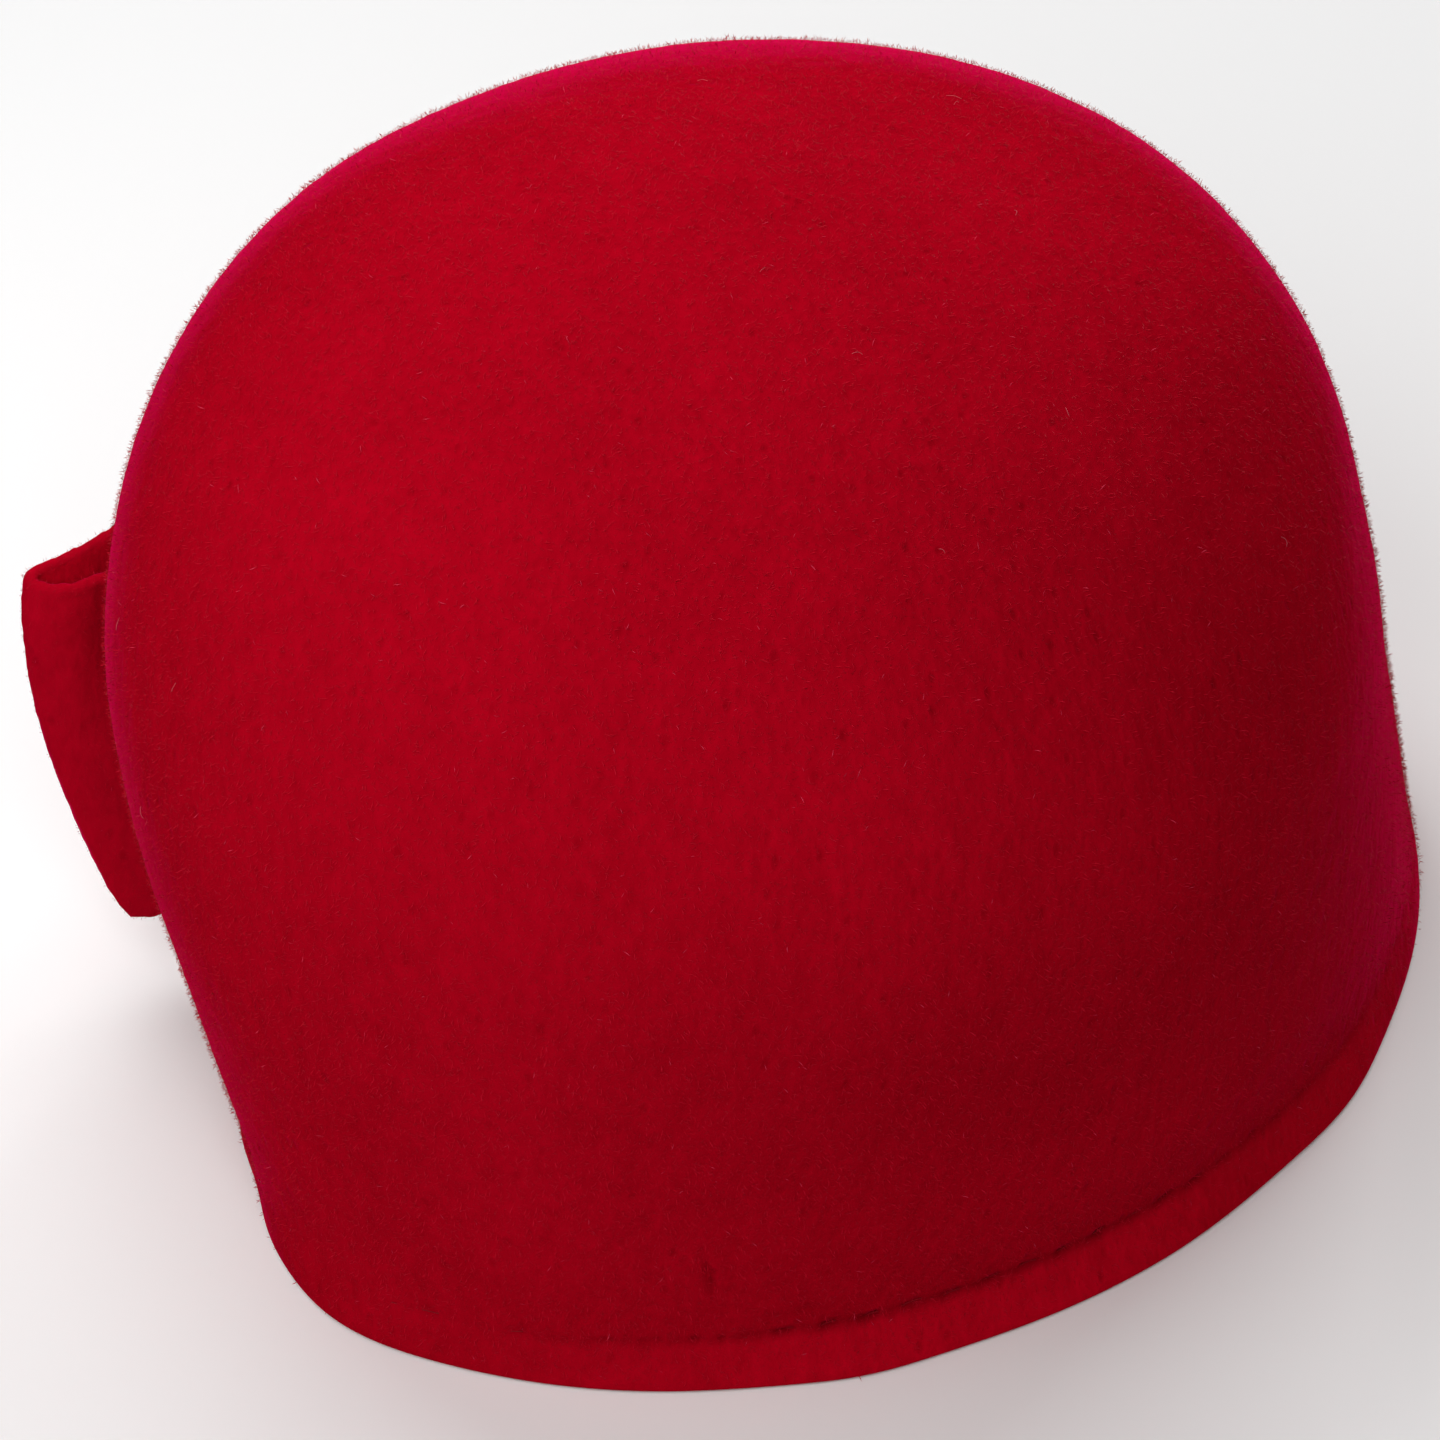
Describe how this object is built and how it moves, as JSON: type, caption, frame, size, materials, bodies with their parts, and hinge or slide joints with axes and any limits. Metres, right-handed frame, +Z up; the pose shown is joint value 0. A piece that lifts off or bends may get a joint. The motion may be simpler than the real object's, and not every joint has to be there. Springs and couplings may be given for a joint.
{
  "type": "felt cloche hat",
  "caption": "Blocked wool-felt cloche with a rounded crown, a turned-in stitched hem and a flat felt bow on the wearer's left.",
  "frame": {"origin": "middle of the head opening, in the plane of the rim", "axes": "+Z up out of the crown, -Y the wearer's front, +X the wearer's left, where the bow is"},
  "size_m": [0.1974, 0.2322, 0.162],
  "materials": {
    "crown_felt": "deep red pressed wool felt, matt, with a short soft nap",
    "bow_felt": "deep red wool felt, matt, with cut edges"
  },
  "bodies": {
    "root": {"crown": "crown_felt", "bow_band": "bow_felt", "bow_knot": "bow_felt"}
  },
  "joints": []
}
